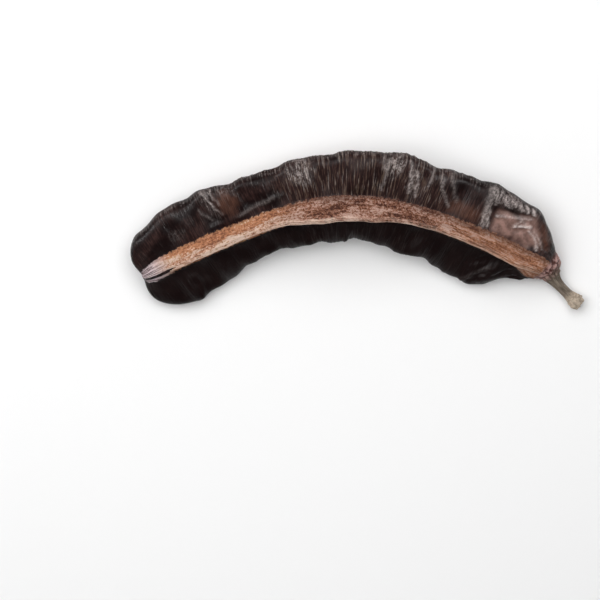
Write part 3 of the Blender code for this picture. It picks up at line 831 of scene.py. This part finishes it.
def pod_material(colours):
    surface = Surface("dried_aridan_skin")
    skin = surface.attribute("skin_place", "Vector")
    spot = surface.add("ShaderNodeTexCoord", output="Object")
    patches = [surface.attribute(name) for name in ("crest", "bloom", "warm", "rosy", "pale")]
    along = surface.add("ShaderNodeSeparateXYZ", None, {0: skin})
    across = Wire(surface, along.socket.node.outputs["Y"])
    arm = Wire(surface, along.socket.node.outputs["Z"])
    place = (surface.attribute("rise"), along, across, arm)
    ragged = surface.grains(spot, 700.0, detail=3.0, rough=0.7)
    wood = (surface.attribute("wood") + (ragged - 0.5) * 0.7).rise(0.44, 0.60)
    stalk = (surface.attribute("stalk") + (ragged - 0.5) * 0.4).rise(0.30, 0.70)

    pulp = pulp_finish(surface, skin, spot, place, patches, colours)
    wing = wood_finish(surface, skin, spot, place, patches[1], colours)
    stem = stalk_finish(surface, skin, spot, along, patches[0], colours)
    colour = surface.mix(stalk, surface.mix(wood, pulp[0], wing[0]), stem[0])
    roughness = surface.blend(stalk, surface.blend(wood, pulp[1], wing[1]), stem[1])
    height = surface.blend(stalk, surface.blend(wood, pulp[2], wing[2]), stem[2])

    surface.plug(surface.shader.inputs["Base Color"], colour)
    surface.plug(surface.shader.inputs["Roughness"], roughness)
    dents = {"Strength": BUMP_STRENGTH, "Distance": BUMP_HEIGHT, "Height": height}
    bump = surface.add("ShaderNodeBump", None, dents)
    surface.plug(surface.shader.inputs["Normal"], bump)
    surface.shader.inputs["Specular IOR Level"].default_value = SKIN_SPECULAR
    return surface.material


# Pieces


def deselect_all():
    if bpy.context.mode != "OBJECT":
        bpy.ops.object.mode_set(mode="OBJECT")
    bpy.ops.object.select_all(action="DESELECT")


def write_attribute(mesh, name, values, kind="FLOAT"):
    layer = mesh.attributes.new(name, kind, "POINT")
    kind_of_value = "vector" if kind == "FLOAT_VECTOR" else "value"
    layer.data.foreach_set(kind_of_value, np.ascontiguousarray(values, np.float32).ravel())


def set_points(mesh, points):
    mesh.vertices.foreach_set("co", np.ascontiguousarray(points, np.float32).ravel())
    mesh.update()


def point_normals(mesh):
    normals = np.empty(len(mesh.vertices) * 3, np.float32)
    mesh.vertex_normals.foreach_get("vector", normals)
    return normals.reshape(-1, 3).astype(float)


def settled(points):
    """(points, shift): points in the pod's own frame laid on the ground, in metres, and the shift used."""
    turned = points @ np.array(POD_TURN).T
    low, high = turned.min(axis=0), turned.max(axis=0)
    shift = np.array([-(low[0] + high[0]) / 2, -(low[1] + high[1]) / 2, -(low[2] + FLAT_DEPTH)])
    return (turned + shift) * MM, shift


def grow_skin(settings):
    """The pod's skin: a globe's rings and segments laid over the pod, then wrinkled along its normals."""
    deselect_all()
    bpy.ops.mesh.primitive_uv_sphere_add(segments=SECTION_POINTS, ring_count=RINGS, radius=1.0)
    pod = bpy.context.object
    pod.name = pod.data.name = "pod_skin"
    mesh = pod.data
    globe = np.empty(len(mesh.vertices) * 3, np.float32)
    mesh.vertices.foreach_get("co", globe)
    globe = globe.reshape(-1, 3).astype(float)
    ring_share = np.arccos(np.clip(-globe[:, 2], -1, 1)) / math.pi
    turn_share = np.arctan2(globe[:, 1], globe[:, 0]) / (2 * math.pi)
    slot = np.round(turn_share * SECTION_POINTS).astype(int) % SECTION_POINTS
    arm, share, side = section_place(slot)
    s, size, _ = ring_path(ring_share)

    places, _ = settled(pod_surface(arm, share, side, ring_share))
    set_points(mesh, places)
    lobe = arm % 2 == 0
    from_edge = (1 - share) * np.where(lobe, LOBE_GIRTH, WING_GIRTH)
    bloom = patch_cover(BLOOM_PATCHES, arm, side, s, from_edge)
    warm = patch_cover(WARM_PATCHES, arm, side, s, from_edge)
    rosy = patch_cover(ROSY_PATCHES, arm, side, s, from_edge)
    relief, crest, pale = skin_relief(arm, share, side, s, bloom, rosy, settings)
    relief = relief * smooth_step(0, 0.5, size)
    places = places + point_normals(mesh) * relief[:, None] * MM
    places[:, 2] = np.maximum(places[:, 2], 0.0)
    set_points(mesh, places)

    from_root = share * np.where(lobe, LOBE_GIRTH, WING_GIRTH)
    wood = 0.5 + np.where(lobe, -0.5, 0.5) * smooth_step(0, WING_BORDER, from_root)
    # Painted shade: near the tip, the upper wing's side towards the inner lobe gets the lobes' dark skin
    # instead of wood.
    painted_shade_under_tip = (arm == 1) & (side > 0)
    wood = np.where(painted_shade_under_tip, wood * smooth_step(*TIP_SHADE, s + TIP_SHADE_SLANT * from_edge), wood)
    skin_place = np.stack([s, side * from_edge, arm * ARM_PLACE], axis=1)
    write_attribute(mesh, "skin_place", skin_place, "FLOAT_VECTOR")
    stalk = smooth_step(*STALK_COLOURS, s)
    layers = {"wood": wood, "rise": share, "stalk": stalk, "crest": crest, "bloom": bloom}
    layers.update({"pale": pale, "warm": warm, "rosy": rosy})
    for name, values in layers.items():
        write_attribute(mesh, name, values)
    bpy.ops.object.shade_smooth()
    return pod


def look_matrix():
    """The camera's directions in the row's frame: right, up and back, as columns."""
    lean, turn = VIEW_LEAN, VIEW_TURN
    right = Vector((math.cos(turn), -math.sin(turn) * math.cos(lean), math.sin(turn) * math.sin(lean)))
    up = Vector((math.sin(turn), math.cos(turn) * math.cos(lean), -math.cos(turn) * math.sin(lean)))
    back = Vector((0.0, math.sin(lean), math.cos(lean)))
    return Matrix([POD_TURN @ right, POD_TURN @ up, POD_TURN @ back]).transposed()


# Settings


def colour_setting(name, description, default):
    return FloatVectorProperty(
        name=name, description=description, default=default, subtype="COLOR", size=3, min=0.0, max=1.0
    )


class PodSkinSettings(bpy.types.PropertyGroup):
    wrinkle_spacing: FloatProperty(
        name="Wrinkle spacing",
        description="How far apart the wrinkles across the lobes are",
        default=1.3 * MM,
        unit="LENGTH",
    )
    wrinkle_height: FloatProperty(
        name="Wrinkle height", description="How high the wrinkles stand", default=0.42 * MM, unit="LENGTH"
    )
    fibre_height: FloatProperty(
        name="Fibre height", description="How rough the woody wings are", default=0.13 * MM, unit="LENGTH"
    )


class PodColourSettings(bpy.types.PropertyGroup):
    pulp_black: colour_setting("Lobe, black", "The lobes' darkest skin", (0.0060, 0.0022, 0.0022))
    pulp_brown: colour_setting("Lobe, brown", "The lobes' brown skin", (0.036, 0.0175, 0.0155))
    pulp_olive: colour_setting("Lobe, olive", "Lines across the lobes' middle", (0.120, 0.085, 0.062))
    # Pale fold crests: worn skin and painted highlights.
    pulp_fold_wear_and_highlight: colour_setting("Lobe, worn folds", "Pale worn crests of the folds", (0.78, 0.68, 0.65))
    pulp_amber: colour_setting("Lobe, amber", "Patches where the skin lets light in", (0.085, 0.038, 0.026))
    pulp_rose: colour_setting("Lobe, rose", "Pale folds of the lobes by the stalk", (0.31, 0.185, 0.155))
    # Grey dust and painted highlights on the wrinkles' crests and the lobe's rim.
    pulp_grey_dust_and_highlight: colour_setting("Lobe, dust", "Grey bloom on the wrinkles' crests", (0.42, 0.36, 0.34))
    # Also the painted shade at the wings' roots.
    wood_dark: colour_setting("Wing, dark", "Dark fibres and the wings' roots", (0.050, 0.020, 0.014))
    wood_orange: colour_setting("Wing, orange", "The wings' main colour", (0.27, 0.108, 0.062))
    wood_bright: colour_setting("Wing, bright", "Orange of the wings towards the tip", (0.47, 0.205, 0.10))
    wood_straw: colour_setting("Wing, straw", "Yellowish clouds towards the tip", (0.40, 0.255, 0.135))
    wood_tan: colour_setting("Wing, tan", "Light fibres", (0.49, 0.325, 0.265))
    edge_pale: colour_setting("Wing edge", "The pale seam along a wing", (0.70, 0.53, 0.43))
    tip_grey: colour_setting("Wing tip", "Greyish wood at the blunt tip", (0.68, 0.57, 0.60))
    stalk_grey: colour_setting("Stalk", "The stalk's bark", (0.085, 0.066, 0.050))
    knob_tan: colour_setting("Knob", "The stalk's pale end and its ribs", (0.50, 0.41, 0.32))
    # The base's own red, darkened in its hollows as painted shade, and pink crests as painted highlights.
    base_red: colour_setting("Stalk base, red", "Hollows where the stalk joins", (0.075, 0.019, 0.016))
    base_pink: colour_setting("Stalk base, pink", "Folds where the stalk joins", (0.56, 0.33, 0.30))


class PodStageSettings(bpy.types.PropertyGroup):
    floor_colour: colour_setting("Floor", "The floor's colour", (0.90, 0.90, 0.90))
    floor_size: FloatProperty(
        name="Floor size", description="Width of the floor", default=8.0, unit="LENGTH"
    )
    key_power: FloatProperty(
        name="Key light", description="Power of the main light", default=12.0, unit="POWER"
    )
    side_power: FloatProperty(
        name="Side lights", description="Power of each side light", default=11.0, unit="POWER"
    )
    sky: FloatProperty(name="Sky", description="Strength of the light from all round", default=0.24)


# Operators


class POD_OT_skin(bpy.types.Operator):
    """Grow the pod's skin, with its lobes, wings and stalk"""

    bl_idname = "aridan.skin"
    bl_label = "Pod Skin"

    def execute(self, context):
        pod = grow_skin(context.scene.pod_skin)
        pod.data.materials.append(pod_material(context.scene.pod_colours))
        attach(pod, "root")
        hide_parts(NODE)
        return {"FINISHED"}


class POD_OT_stage(bpy.types.Operator):
    """Lay the floor, hang the lights and set up the camera"""

    bl_idname = "aridan.stage"
    bl_label = "Stage"

    def execute(self, context):
        settings = context.scene.pod_stage
        add_floor(settings)
        add_lights(settings)
        add_camera(context.scene)
        return {"FINISHED"}


def add_floor(settings):
    deselect_all()
    bpy.ops.mesh.primitive_plane_add(size=settings.floor_size)
    floor = bpy.context.object
    floor.name = "floor"
    surface = Surface("floor_paper")
    surface.shader.inputs["Base Color"].default_value = solid(settings.floor_colour)
    surface.shader.inputs["Roughness"].default_value = FLOOR_ROUGHNESS
    surface.shader.inputs["Specular IOR Level"].default_value = FLOOR_SPECULAR
    floor.data.materials.append(surface.material)


def add_light(name, place, size, power, gloss_only=False):
    data = bpy.data.lights.new(name, "AREA")
    data.shape = "RECTANGLE"
    data.size, data.size_y = size
    data.energy = power
    light = bpy.data.objects.new(name, data)
    bpy.context.scene.collection.objects.link(light)
    light.location = place
    light.rotation_euler = (-Vector(place)).to_track_quat("-Z", "Y").to_euler()
    light.visible_diffuse = not gloss_only


def add_lights(settings):
    add_light("key", KEY_PLACE, KEY_SIZE, settings.key_power)
    sideways, behind, above = STRIP_PLACE
    for name, side in (("left", -1), ("right", 1)):
        place = (side * sideways, behind, above)
        add_light(name, place, STRIP_SIZE, settings.side_power, gloss_only=True)
    world = bpy.data.worlds.new("soft_sky")
    world.use_nodes = True
    background = world.node_tree.nodes["Background"]
    background.inputs["Color"].default_value = solid((1.0, 1.0, 1.0))
    background.inputs["Strength"].default_value = settings.sky
    bpy.context.scene.world = world


def add_camera(scene):
    data = bpy.data.cameras.new("view")
    data.sensor_width = SENSOR
    data.lens = SENSOR * VIEW_DISTANCE / FRAME_WIDTH
    camera = bpy.data.objects.new("view", data)
    scene.collection.objects.link(camera)
    turn = look_matrix()
    everywhere = np.arange(SECTION_POINTS * COARSE_RINGS)
    arm, share, side = section_place(everywhere % SECTION_POINTS)
    ring_share = (everywhere // SECTION_POINTS + 0.5) / COARSE_RINGS
    _, shift = settled(pod_surface(arm, share, side, ring_share))
    aim = (POD_TURN @ Vector(FRAME_CENTRE) + Vector(shift)) * MM
    camera.matrix_world = Matrix.Translation(aim + turn.col[2] * VIEW_DISTANCE) @ turn.to_4x4()
    scene.camera = camera
    scene.view_settings.view_transform = "Standard"


class POD_PT_panel(bpy.types.Panel):
    """The pod's settings and its steps"""

    bl_idname = "POD_PT_panel"
    bl_label = "Aridan Pod"
    bl_space_type = "VIEW_3D"
    bl_region_type = "UI"
    bl_category = "Aridan Pod"

    def draw(self, context):
        for group in (context.scene.pod_skin, context.scene.pod_colours, context.scene.pod_stage):
            box = self.layout.box()
            for name in group.__annotations__:
                box.prop(group, name)
        for step in STEPS:
            self.layout.operator(step.bl_idname)


STEPS = (POD_OT_skin, POD_OT_stage)
CLASSES = (PodSkinSettings, PodColourSettings, PodStageSettings, *STEPS, POD_PT_panel)


def register():
    for cls in CLASSES:
        bpy.utils.register_class(cls)
    bpy.types.Scene.pod_skin = PointerProperty(type=PodSkinSettings)
    bpy.types.Scene.pod_colours = PointerProperty(type=PodColourSettings)
    bpy.types.Scene.pod_stage = PointerProperty(type=PodStageSettings)


def unregister():
    del bpy.types.Scene.pod_stage
    del bpy.types.Scene.pod_colours
    del bpy.types.Scene.pod_skin
    for cls in reversed(CLASSES):
        bpy.utils.unregister_class(cls)


def main():
    register()
    bpy.ops.aridan.skin()
    bpy.ops.aridan.stage()


if __name__ == "__main__":
    main()
